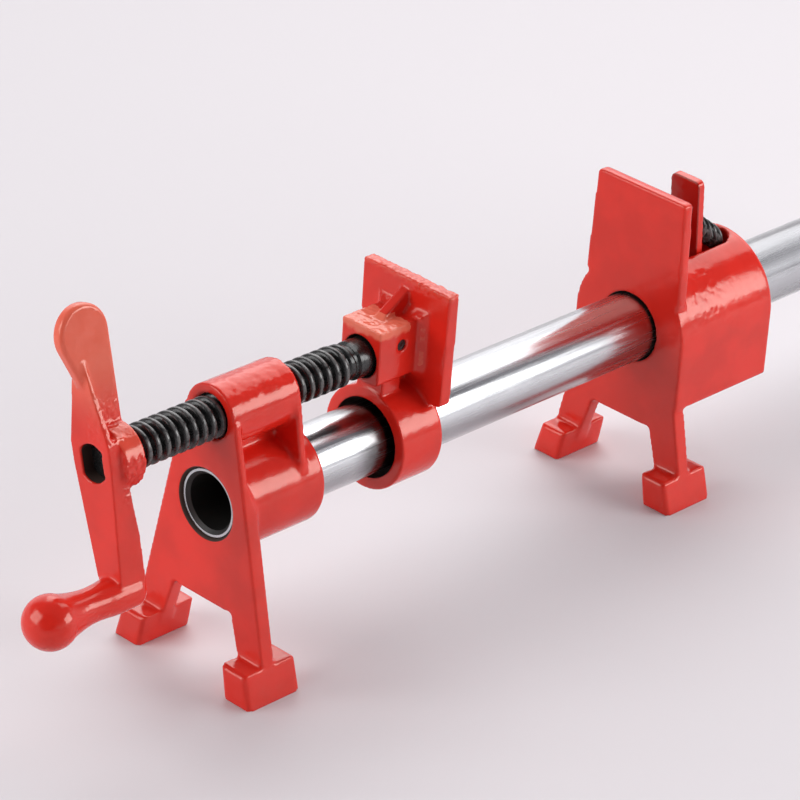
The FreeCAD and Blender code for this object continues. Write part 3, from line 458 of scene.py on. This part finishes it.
# Colours that show through a finish or lie on it
WARM_GLOSS = (1.0, 0.9, 0.8)
# Dark colours for the bored holes: partly bare metal, partly painted shade
BARE_AND_SHADED_CASTING = (0.036, 0.019, 0.015)
BARE_AND_SHADED_BORE = (0.012, 0.011, 0.01)
# Painted shade on the pipe by the jaw's collar
COLLAR_SHADE_COLOUR = (0.05, 0.04, 0.037)
RUBBED_AND_SHEEN_OXIDE = (0.10, 0.098, 0.096)

# How much of a worn edge's enamel is thin, and how much of the plating the painted shade at the collar
# covers
EDGE_WEAR = 0.35
COLLAR_SHADE_COVER = 0.85

# Drawn streaks on the pipe, for each metre along it and across it
STREAKS = (14, 700, 700)

# How deep from its crest a thread's black oxide is rubbed grey and painted with highlight
RUBBED_AND_SHEEN_DEPTH = 0.3 * MM


def shade(colour, share):
    """A colour darkened to a share of itself."""
    return tuple(channel * share for channel in colour)


def red_enamel(name, bores, rubbed_and_sheen=(), shaded_front_top=None):
    """Glossy enamel over a sand casting, thin where it is worn and lighter with painted sheen in given
    boxes, and dark in its bored holes, partly bare iron and partly painted shade.

    Where the top of a sloping front face is given, that face is darker with painted shade.
    """
    shader = Shader(name, Metallic=0.0, IOR=1.5, Specular_Tint=WARM_GLOSS)
    red = tuple(colours().enamel)
    thin_and_sheen = tuple(colours().thin_enamel_and_sheen)
    patches = shader.grain(22 * MM)
    sand = shader.grain(1.8 * MM)
    flow = shader.grain(7 * MM, detail=2)
    bare_and_shade = 0.0
    # The bored holes are painted dark: partly bare iron, partly painted shade
    for bore in bores:
        bare_and_shade = shader.within(*bore) + bare_and_shade
    enamel = shader.blend(shader.level(patches, 0.35, 0.65), shade(red, PATCH_SHADE), red)
    chips = shader.level(shader.grain(3.5 * MM, detail=4), 0.42, 0.62)
    worn = shader.level(shader.raised(), 0.53, 0.6) * chips
    enamel = shader.blend(worn * EDGE_WEAR, enamel, thin_and_sheen)
    # Enamel rubbed thin, and painted sheen on the top faces, in the given boxes
    for low, high, fade, share in rubbed_and_sheen:
        enamel = shader.blend(shader.inside(low, high, fade) * share, enamel, thin_and_sheen)
    if shaded_front_top:
        # Painted shade on the lever's sloping front face, where the tail's plate shades it and is
        # reflected
        along, _, up = shader.axes()
        shaded_front = along + (up - shaded_front_top.z) * LEVER_SLOPE < shaded_front_top.x + LEVER_SHADED_SKIN
        enamel = shader.blend(shaded_front, enamel, shade(red, LEVER_PAINTED_SHADE))
    return shader.feed(
        Base_Color=shader.blend(bare_and_shade, enamel, BARE_AND_SHADED_CASTING),
        Roughness=shader.level(sand, *NOISE, 0.12, 0.2) + bare_and_shade * 0.6,
        Normal=shader.bump(sand * 0.22 + flow * 0.78, 0.42, 0.5 * MM))


def zinc_plate():
    """Bright plated tube with long drawn streaks, a dark bore of bare steel and painted shade, and painted
    shade at the jaw's collar.
    """
    shader = Shader("zinc_plate")
    zinc = tuple(colours().zinc)
    streaks = shader.grain(1.0, detail=5, rough=0.6, where=shader.stretched(STREAKS))
    cloud = shader.grain(9 * MM, detail=4)
    # The pipe's bore and reamed mouth are painted dark: partly bare steel, partly painted shade
    bore = shader.reach(PIPE_AXIS) < PIPE_RADIUS - sizes().pipe_wall + sizes().pipe_ream
    plate = shader.blend(cloud, shade(zinc, PATCH_SHADE), zinc)
    along, _, _ = shader.axes()
    # Painted shade on the pipe where it runs into the jaw's collar
    collar_shade = shader.level(along + (cloud - 0.5) * 5 * MM, COLLAR_SHADE_START, COLLAR_SHADE_FULL)
    collar_shade = collar_shade * shader.level(along, COLLAR_SHADE_FADE, COLLAR_SHADE_END, 1.0, 0.0)
    plate = shader.blend(collar_shade * COLLAR_SHADE_COVER, plate, COLLAR_SHADE_COLOUR)
    return shader.feed(
        Base_Color=shader.blend(bore, plate, BARE_AND_SHADED_BORE),
        Metallic=1.0 - bore,
        Roughness=shader.level(streaks, *NOISE, 0.16, 0.3) + bore * 0.3,
        Normal=shader.bump(streaks, 0.12, 0.1 * MM))


def black_oxide(name, axis_height, crest):
    """Oiled black finish rubbed back to grey, with a painted highlight, where a thread's crest rises past
    a radius.
    """
    shader = Shader(name, Metallic=0.0, IOR=1.5)
    patches = shader.level(shader.grain(2.2 * MM, detail=4), 0.32, 0.55)
    # Crests painted grey: oxide rubbed off, and a painted highlight
    rubbed_and_sheen = shader.level(shader.reach(axis_height), crest - RUBBED_AND_SHEEN_DEPTH, crest) * patches
    return shader.feed(
        Base_Color=shader.blend(rubbed_and_sheen, tuple(colours().oxide), RUBBED_AND_SHEEN_OXIDE),
        Roughness=shader.level(shader.grain(1.2 * MM), *NOISE, 0.19, 0.34) - rubbed_and_sheen * 0.06,
        Normal=shader.bump(shader.grain(1.4 * MM), 0.4, 0.15 * MM))


def plain_steel():
    """Bare oiled steel plate with rolling marks and stains."""
    shader = Shader("plain_steel", Metallic=1.0)
    steel = tuple(colours().steel)
    stain = shader.grain(4 * MM, detail=5)
    return shader.feed(
        Base_Color=shader.blend(shader.level(stain, 0.35, 0.7), steel, shade(steel, STAIN_SHADE)),
        Roughness=shader.level(stain, *NOISE, 0.3, 0.5),
        Normal=shader.bump(shader.grain(0.6 * MM), 0.2, 0.05 * MM))


# ---------------------------------------------------------------------------------------------
# Mesh helpers
# ---------------------------------------------------------------------------------------------

def activate(piece):
    """Leaves one object selected and active, in object mode."""
    if bpy.context.object and bpy.context.object.mode != "OBJECT":
        bpy.ops.object.mode_set(mode="OBJECT")
    bpy.ops.object.select_all(action="DESELECT")
    piece.select_set(True)
    bpy.context.view_layer.objects.active = piece


def apply_modifier(piece, kind, name, **settings):
    """Adds a modifier, sets it and applies it."""
    activate(piece)
    modifier = piece.modifiers.new(name, kind)
    for setting, value in settings.items():
        setattr(modifier, setting, value)
    bpy.ops.object.modifier_apply(modifier=name)


def welded_copy(node, name):
    """A copy of a clamp part's mesh with its loose triangles joined."""
    activate(frame["nodes"][node])
    bpy.ops.object.duplicate(linked=False)
    piece = bpy.context.object
    piece.name = name
    piece.data.name = name
    piece.parent = None
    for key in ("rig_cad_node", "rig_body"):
        if key in piece:
            del piece[key]
    bpy.ops.object.mode_set(mode="EDIT")
    bpy.ops.mesh.select_all(action="SELECT")
    bpy.ops.mesh.remove_doubles(threshold=WELD)
    bpy.ops.object.mode_set(mode="OBJECT")
    return piece


def outline(name, points, closed=True):
    """A chain of edges through (along, radius) points, from which a piece is turned."""
    bpy.ops.object.select_all(action="DESELECT")
    bpy.ops.mesh.primitive_circle_add(vertices=len(points), radius=1)
    piece = bpy.context.object
    piece.name = piece.data.name = name
    for vertex, (along, radius) in zip(piece.data.vertices, points):
        vertex.co = (along, 0, radius)
    if not closed:
        last = len(points) - 1
        bpy.ops.object.mode_set(mode="EDIT")
        bpy.ops.mesh.select_all(action="DESELECT")
        bpy.ops.object.mode_set(mode="OBJECT")
        piece.data.vertices[0].select = piece.data.vertices[last].select = True
        for edge in piece.data.edges:
            edge.select = set(edge.vertices) == {0, last}
        bpy.ops.object.mode_set(mode="EDIT")
        bpy.ops.mesh.delete(type="EDGE")
        bpy.ops.object.mode_set(mode="OBJECT")
    return piece


def turn(piece, turns=1.0, pitch=0.0, steps=ROUND_STEPS):
    """Turns a piece's outline about the X axis, and moves it along by a pitch for each turn."""
    apply_modifier(piece, "SCREW", "Turned", axis="X", angle=turns * 2 * math.pi,
                   screw_offset=turns * pitch, steps=round(turns * steps),
                   render_steps=round(turns * steps), use_merge_vertices=not pitch,
                   merge_threshold=WELD)
    bpy.ops.object.mode_set(mode="EDIT")
    bpy.ops.mesh.select_all(action="SELECT")
    bpy.ops.mesh.remove_doubles(threshold=WELD)
    bpy.ops.mesh.fill_holes(sides=0)
    bpy.ops.mesh.normals_make_consistent(inside=False)
    bpy.ops.object.mode_set(mode="OBJECT")
    return piece


def turned_points(piece, corners, steps=ROUND_STEPS):
    """Each point of a coil with the number of turns at which it was swept."""
    for index, vertex in enumerate(piece.data.vertices):
        yield index // corners / steps, vertex


def thread(name, root, crest, pitch, turns, fade=0.6):
    """A rounded thread that rises from its root at one end and sinks back at the other.

    It fades in and out over a number of turns.
    """
    rise = (crest - root) / THREAD_TOP
    piece = outline(name, [(share * pitch, root + height * rise) for share, height in THREAD_PROFILE])
    turn(piece, turns, pitch)
    for at, vertex in turned_points(piece, len(THREAD_PROFILE)):
        radius = math.hypot(vertex.co.y, vertex.co.z)
        height = max(radius - root, 0) * min(at / fade, (turns - at) / fade, 1.0)
        share = (min(radius, root) + height) / radius
        vertex.co.y *= share
        vertex.co.z *= share
    return piece


def place_mesh(piece, along, height, across=0.0):
    """Moves a turned piece's mesh from the X axis to its place on the clamp."""
    piece.data.transform(Matrix.Translation((along, across, height)))


def join(first, other):
    """Joins two pieces into the first, smooth except at its sharp edges."""
    activate(first)
    other.select_set(True)
    bpy.ops.object.join()
    bpy.ops.object.shade_smooth_by_angle(angle=SMOOTH_ANGLE)
    return first


def weigh(piece, weights):
    """Puts weights on a piece's vertices, for the next modifier to go by."""
    piece.vertex_groups.clear()
    group = piece.vertex_groups.new(name="Weights")
    for index in np.flatnonzero(weights > 0):
        group.add([int(index)], float(weights[index]), "REPLACE")
    return group.name


def mesh_arrays(mesh):
    """A mesh's points, vertex normals and edges as arrays."""
    points = np.empty(len(mesh.vertices) * 3)
    mesh.vertices.foreach_get("co", points)
    normals = np.empty(len(mesh.vertices) * 3)
    mesh.vertex_normals.foreach_get("vector", normals)
    edges = np.empty(len(mesh.edges) * 2, dtype=int)
    mesh.edges.foreach_get("vertices", edges)
    return points.reshape(-1, 3), normals.reshape(-1, 3), edges.reshape(-1, 2)


def fillet_creases(piece, rounds):
    """Runs a fillet along every inside corner of a casting, as its mould has."""
    points, normals, edges = mesh_arrays(piece.data)
    first, second = edges[:, 0], edges[:, 1]
    along = points[second] - points[first]
    bend = np.einsum("ij,ij->i", normals[second] - normals[first], along)
    bend /= np.einsum("ij,ij->i", along, along)
    hollow = np.zeros(len(points))
    np.minimum.at(hollow, first, bend)
    np.minimum.at(hollow, second, bend)
    weights = (hollow < -CREASE_BEND).astype(float)
    for _ in range(CREASE_RINGS):
        spread = weights.copy()
        np.maximum.at(spread, first, weights[second] * RING_FADE)
        np.maximum.at(spread, second, weights[first] * RING_FADE)
        weights = spread
    apply_modifier(piece, "SMOOTH", "Fillet", factor=0.5, iterations=rounds,
                   vertex_group=weigh(piece, weights))
    piece.vertex_groups.clear()


def add_lumps(piece, low, high, lump, height):
    """Raises lumps on a casting between two corners of a box, lower towards the box's sides."""
    points, _, _ = mesh_arrays(piece.data)
    outside = np.maximum(np.array(low) - points, points - np.array(high)).max(axis=1)
    sand = bpy.data.textures.new("Sand", "CLOUDS")
    sand.noise_scale = lump
    apply_modifier(piece, "DISPLACE", "Sand lumps", texture=sand, texture_coords="LOCAL",
                   strength=height, mid_level=0.5,
                   vertex_group=weigh(piece, np.clip(-outside / LUMP_FADE, 0, 1)))
    piece.vertex_groups.clear()


def cast_copy(node, name, voxel, fillets, addition=None):
    """A clamp part as sand casting leaves it: edges rounded off, corners filled, skin lumpy."""
    piece = welded_copy(node, name)
    if addition:
        join(piece, addition)
    apply_modifier(piece, "REMESH", "Cast skin", mode="VOXEL", voxel_size=voxel, adaptivity=0.0)
    apply_modifier(piece, "SMOOTH", "Worn edges", factor=0.5, iterations=WORN_ROUNDS)
    fillet_creases(piece, fillets)
    for low, high, lump, height in SAND_LUMPS.get(node, ()):
        add_lumps(piece, low, high, lump, height)
    bpy.ops.object.shade_smooth()
    return piece


def finish(piece, material, body, node):
    """Gives a piece its finish and the body that it moves with, and hides the clamp part that it stands
    for.
    """
    piece.data.materials.clear()
    piece.data.materials.append(material)
    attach(piece, body)
    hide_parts(node)


def finish_node(node, material):
    """Gives a clamp part that keeps its own mesh a new finish."""
    mesh = frame["nodes"][node].data
    mesh.materials.clear()
    mesh.materials.append(material)


# ---------------------------------------------------------------------------------------------
# Pieces
# ---------------------------------------------------------------------------------------------

class CLAMP_OT_castings(bpy.types.Operator):
    """Makes the red castings with rounded cast edges"""
    bl_idname = "clamp.castings"
    bl_label = "Castings"

    def execute(self, context):
        for node, body, fineness, filling in CASTINGS:
            grip = self.make_grip() if node == "crank_handle" else None
            voxel = sizes().edge_voxel * fineness
            fillets = round(sizes().fillet_rounds * filling)
            piece = cast_copy(node, node + "_cast", voxel, fillets, grip)
            # The lever's front face gets painted shade
            shaded_front_top = LEVER_SHADED_FRONT_TOP if node == "release_lever" else None
            enamel = red_enamel("red_enamel_" + node, BORES.get(node, ()), RUBBED_AND_SHEEN.get(node, ()), shaded_front_top)
            finish(piece, enamel, body, node)
        return {"FINISHED"}

    def make_grip(self):
        """The crank's neck, which flares into the ball and into a boss through the arm's end."""
        ball = CRANK_LOW.x + BALL_RADIUS
        length = ARM_BACK - ball
        points = [(along * MM, GRIP_NECK + rise * MM) for along, rise in GRIP_FLARE]
        start = points[0][0]
        for corner in range(BOSS_CORNERS + 1):
            angle = math.radians(90 / BOSS_CORNERS * corner)
            points.append((length - BOSS_EDGE * (1 - math.sin(angle)),
                           GRIP_BOSS - BOSS_EDGE * (1 - math.cos(angle))))
        grip = turn(outline("crank_grip", [(start, 0), *points, (length, 0)], closed=False))
        place_mesh(grip, ball, GRIP_HEIGHT, GRIP_ACROSS)
        return grip


class CLAMP_OT_screw(bpy.types.Operator):
    """Makes the clamp screw: a flattened tang, a rounded thread and a plain grooved neck"""
    bl_idname = "clamp.screw"
    bl_label = "Clamp screw"

    def execute(self, context):
        size = sizes()
        root = SCREW_RADIUS - size.screw_depth
        length = SCREW_HIGH.x - SCREW_LOW.x
        tang_long = 3.0 * MM
        tang_radius = 6.9 * MM
        tang_half = 5.3 * MM
        neck = size.neck_radius
        neck_start = length - size.neck_length
        groove = 2.2 * MM
        groove_end = length - 4.0 * MM
        groove_start = groove_end - 4.6 * MM
        edge = 1.2 * MM
        core = outline("clamp_screw", [
            (0, 0), (0, tang_radius - edge / 3), (edge / 3, tang_radius), (tang_long, tang_radius),
            (tang_long, root), (neck_start, root), (neck_start + edge / 2, neck), (groove_start, neck),
            (groove_start, groove), (groove_end, groove), (groove_end, neck),
            (length - edge, neck), (length, neck - edge), (length, 0)], closed=False)
        turn(core)
        self.flatten_tang(core, tang_long, tang_half)
        turns = (neck_start - tang_long) / size.screw_pitch - 1
        ridge = thread("screw_thread", root, SCREW_RADIUS, size.screw_pitch, turns)
        place_mesh(ridge, tang_long, 0)
        screw = join(core, ridge)
        place_mesh(screw, SCREW_LOW.x, SCREW_AXIS)
        oxide = black_oxide("black_screw", SCREW_AXIS, SCREW_RADIUS)
        finish(screw, oxide, "screw", "spindle")
        return {"FINISHED"}

    def flatten_tang(self, core, tang_long, tang_half):
        """Presses the screw's front end flat on two sides, in line with the crank's slot."""
        lean = Matrix.Rotation(math.radians(-CRANK_LEAN), 3, "X")
        for vertex in core.data.vertices:
            if vertex.co.x < tang_long + WELD:
                flat = lean.inverted() @ vertex.co
                flat.y = max(-tang_half, min(tang_half, flat.y))
                vertex.co = lean @ flat


class CLAMP_OT_pipe(bpy.types.Operator):
    """Makes the plated pipe with its reamed ends and its taper thread"""
    bl_idname = "clamp.pipe"
    bl_label = "Pipe"

    def execute(self, context):
        size = sizes()
        inner = PIPE_RADIUS - size.pipe_wall
        length = PIPE_HIGH.x - PIPE_LOW.x
        ream = size.pipe_ream
        edge = 0.3 * MM
        cut = 14.5 * MM
        crest = PIPE_RADIUS - 0.43 * MM
        root = crest - 1.0 * MM
        tube = outline("plated_pipe", [
            (0, inner + ream), (0, crest - edge), (edge, crest), (cut, crest),
            (cut + edge, PIPE_RADIUS), (length - cut, PIPE_RADIUS),
            (length - cut + size.pipe_pitch, root), (length - edge, root), (length, root - edge),
            (length, inner + ream), (length - ream, inner), (ream, inner)])
        turn(tube, steps=PIPE_STEPS)
        turns = (cut - edge) / size.pipe_pitch - 1
        ridge = thread("pipe_thread", root, crest, size.pipe_pitch, turns, fade=1.5)
        place_mesh(ridge, length - cut, 0)
        pipe = join(tube, ridge)
        place_mesh(pipe, PIPE_LOW.x, PIPE_AXIS)
        finish(pipe, zinc_plate(), "frame", "pipe")
        return {"FINISHED"}


class CLAMP_OT_clutch(bpy.types.Operator):
    """Makes the clutch spring and finishes the clutch plates and the cross pin"""
    bl_idname = "clamp.clutch"
    bl_label = "Clutch"

    def execute(self, context):
        steel = plain_steel()
        for node in ("clutch_plate_1", "clutch_plate_2", "clutch_plate_3"):
            finish_node(node, steel)
        # The pin has no thread, so its crest lies out of its reach
        finish_node("jaw_retaining_pin", black_oxide("black_pin", SCREW_AXIS, 1.0))
        self.make_spring(sizes())
        return {"FINISHED"}

    def make_spring(self, size):
        """A wire coil whose end turns lie close and whose line falls towards its rear seat."""
        wire = size.spring_wire
        turns = size.spring_turns
        ends = 0.75
        mean = (SPRING_HIGH.y - SPRING_LOW.y - wire) / 2
        length = SPRING_HIGH.x - SPRING_LOW.x - wire
        ring = [2 * math.pi * corner / WIRE_CORNERS for corner in range(WIRE_CORNERS)]
        spring = outline("clutch_spring_coil", [
            (math.cos(angle) * wire / 2, mean + math.sin(angle) * wire / 2) for angle in ring])
        turn(spring, turns, wire, SPRING_STEPS)
        open_pitch = (length - 2 * ends * wire) / (turns - 2 * ends)
        for at, vertex in turned_points(spring, WIRE_CORNERS, SPRING_STEPS):
            middle = min(max(at - ends, 0), turns - 2 * ends)
            along = middle * open_pitch + (at - middle) * wire
            vertex.co.x += along - at * wire
            vertex.co.z -= size.spring_drop * along / length
        place_mesh(spring, SPRING_LOW.x + wire / 2, SPRING_HIGH.z - mean - wire / 2)
        activate(spring)
        bpy.ops.object.shade_smooth()
        coil = mean + wire / 2
        oxide = black_oxide("black_spring", SPRING_HIGH.z - coil, coil)
        finish(spring, oxide, "tail", "clutch_spring")
        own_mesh(spring)


# ---------------------------------------------------------------------------------------------
# Stage
# ---------------------------------------------------------------------------------------------

# The camera: its place, its angles in degrees, and its lens and sensor in millimetres
VIEW_FROM = Vector((-1.06064, -0.90513, 0.77038))
VIEW_TURN = -47.03
VIEW_TILT = 27.67
VIEW_ROLL = 3.92
VIEW_LENS = 187.58
SENSOR_WIDTH = 36
VIEW_DEPTH = 20

# The studio room: the way to its lit wall, and its colours
BACK_WALL = Vector((0.62, 0.70, 0.36))
PALE_WALL = (0.86, 0.84, 0.87)
DIM_CEILING = (0.24, 0.23, 0.25)
LIT_WALL = (1.35, 1.32, 1.35)
DARK_SIDE = (0.10, 0.09, 0.10)

# The lamps face one place on the clamp: name, place, size, watts
LAMP_TARGET = Vector((-0.1, 0, 0.08))
LAMPS = (
    ("side_softbox", (0.73, -1.05, 0.50), (0.9, 0.58), 10.8),
    ("front_softbox", (-1.3, 0.5, 0.74), (1.1, 0.9), 13),
    ("top_softbox", (0.64, 0.39, 0.95), (1.35, 0.9), 9.2),
)
FLOOR_WIDTH = 12
FLOOR_SHADE = 0.97


def add_camera():
    """Sets up the camera from its heading, tilt and roll."""
    heading, tilt, roll = (math.radians(angle) for angle in (VIEW_TURN, VIEW_TILT, VIEW_ROLL))
    back = Vector((math.sin(heading) * math.cos(tilt), -math.cos(heading) * math.cos(tilt),
                   math.sin(tilt)))
    side = Vector((0, 0, 1)).cross(back).normalized()
    over = back.cross(side)
    right = side * math.cos(roll) + over * math.sin(roll)
    up = over * math.cos(roll) - side * math.sin(roll)
    data = bpy.data.cameras.new("view")
    data.lens = VIEW_LENS
    data.sensor_width = SENSOR_WIDTH
    data.clip_end = VIEW_DEPTH
    camera = bpy.data.objects.new("view", data)
    camera.matrix_world = Matrix((right, up, back)).transposed().to_4x4()
    camera.location = VIEW_FROM
    bpy.context.scene.collection.objects.link(camera)
    bpy.context.scene.camera = camera


def add_lamp(name, place, size, watts):
    """Adds a softbox that faces the clamp."""
    data = bpy.data.lights.new(name, "AREA")
    data.shape = "RECTANGLE"
    data.size, data.size_y = size
    data.energy = watts
    lamp = bpy.data.objects.new(name, data)
    lamp.location = place
    lamp.rotation_euler = (LAMP_TARGET - Vector(place)).to_track_quat("-Z", "Y").to_euler()
    bpy.context.scene.collection.objects.link(lamp)


def add_floor():
    """Adds the pale floor."""
    bpy.ops.object.select_all(action="DESELECT")
    bpy.ops.mesh.primitive_plane_add(size=FLOOR_WIDTH, location=(0, 0, 0))
    floor = bpy.context.object
    floor.name = "floor"
    shader = Shader("floor", Roughness=0.6, Specular_IOR_Level=0.3)
    soft = shader.grain(0.4, detail=2)
    pale = tuple(colours().floor)
    shader.feed(Base_Color=shader.blend(soft, pale, shade(pale, FLOOR_SHADE)))
    floor.data.materials.append(shader.material)


def light_world():
    """A room with pale walls low down, a lit wall behind the clamp and a dark side by the camera."""
    world = bpy.data.worlds.new("studio")
    world.use_nodes = True
    bpy.context.scene.world = world
    nodes = Nodes(world.node_tree)
    way = nodes.place("Generated")
    rise = nodes.axes("Generated")[2]

    def towards(direction):
        return nodes.node("ShaderNodeVectorMath", {"operation": "DOT_PRODUCT"}, {
            0: way, 1: direction.normalized()}, output=1)

    walls = nodes.blend(nodes.level(rise, 0.15, 0.45), PALE_WALL, DIM_CEILING)
    lit = nodes.blend(nodes.level(towards(BACK_WALL), 0.72, 0.95), walls, LIT_WALL)
    colour = nodes.blend(nodes.level(towards(VIEW_FROM), 0.7, 0.92), lit, DARK_SIDE)
    background = world.node_tree.nodes["Background"]
    world.node_tree.links.new(colour.socket, background.inputs["Color"])


class CLAMP_OT_stage(bpy.types.Operator):
    """Sets the camera, the floor and the studio lamps"""
    bl_idname = "clamp.stage"
    bl_label = "Stage"

    def execute(self, context):
        add_camera()
        add_floor()
        light_world()
        for name, place, size, watts in LAMPS:
            add_lamp(name, place, size, watts)
        context.scene.view_settings.view_transform = "Standard"
        return {"FINISHED"}


class CLAMP_PT_sidebar(bpy.types.Panel):
    """Lists the clamp's pieces and settings"""
    bl_label = "Pipe Clamp"
    bl_space_type = "VIEW_3D"
    bl_region_type = "UI"
    bl_category = "Pipe Clamp"

    def draw(self, context):
        for step in STEPS:
            self.layout.operator(step.bl_idname)
        for group in (context.scene.clamp_sizes, context.scene.clamp_colours):
            for setting in group.__annotations__:
                self.layout.prop(group, setting)


STEPS = (CLAMP_OT_stage, CLAMP_OT_castings, CLAMP_OT_screw, CLAMP_OT_pipe, CLAMP_OT_clutch)
CLASSES = (ClampSizes, ClampColours, *STEPS, CLAMP_PT_sidebar)


def register():
    for made in CLASSES:
        bpy.utils.register_class(made)
    bpy.types.Scene.clamp_sizes = bpy.props.PointerProperty(type=ClampSizes)
    bpy.types.Scene.clamp_colours = bpy.props.PointerProperty(type=ClampColours)


def unregister():
    del bpy.types.Scene.clamp_colours
    del bpy.types.Scene.clamp_sizes
    for made in reversed(CLASSES):
        bpy.utils.unregister_class(made)


def main():
    register()
    for step in (bpy.ops.clamp.stage, bpy.ops.clamp.castings, bpy.ops.clamp.screw,
                 bpy.ops.clamp.pipe, bpy.ops.clamp.clutch):
        step()


if __name__ == "__main__":
    main()
